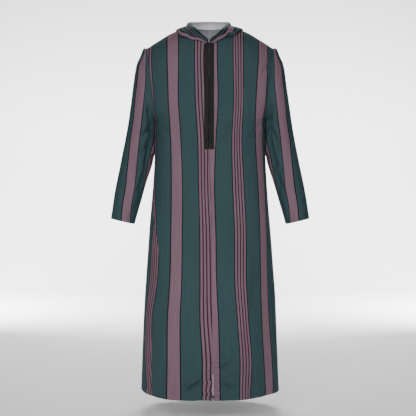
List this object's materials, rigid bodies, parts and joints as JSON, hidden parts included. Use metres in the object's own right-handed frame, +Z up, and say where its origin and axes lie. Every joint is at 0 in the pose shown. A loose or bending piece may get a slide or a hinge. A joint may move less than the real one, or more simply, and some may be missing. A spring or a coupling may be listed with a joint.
{
  "type": "hooded zip-up thobe",
  "caption": "Full-length hooded robe with long sleeves, upright stripes and a zip from neck to lower chest, filled out as it is worn with its hood lying back.",
  "frame": {"origin": "middle of the neck opening, level with the side of the neck, where neck and shoulders hold the garment", "axes": "+Z up, the wearer faces -Y, so the wearer's left is +X"},
  "size_m": [0.7344, 0.3627, 1.4096],
  "materials": {
    "striped_cloth": "soft woven cotton, upright stripes of green and mauve with thin dark lines, plain grey reverse",
    "zip_tape": "black woven tape",
    "zip_teeth": "black coil",
    "zip_metal": "black lacquer"
  },
  "bodies": {
    "garment": {"front_left": "striped_cloth", "front_right": "striped_cloth", "back": "striped_cloth", "sleeve_left": "striped_cloth", "sleeve_right": "striped_cloth", "hood_left": "striped_cloth", "hood_right": "striped_cloth", "zip_tape_left": "zip_tape", "zip_tape_right": "zip_tape", "zip_chain": "zip_teeth", "zip_slider": "zip_metal", "zip_bottom_stop": "zip_metal"},
    "pull_tab": {"zip_pull": "zip_metal"}
  },
  "joints": [
    {"name": "pull_tab_swing", "type": "hinge", "parent": "garment", "child": "pull_tab", "pos_m": [-0.0034, -0.1113, -0.07], "axis": [-1, 0, 0], "range_deg": [0, 150]}
  ]
}
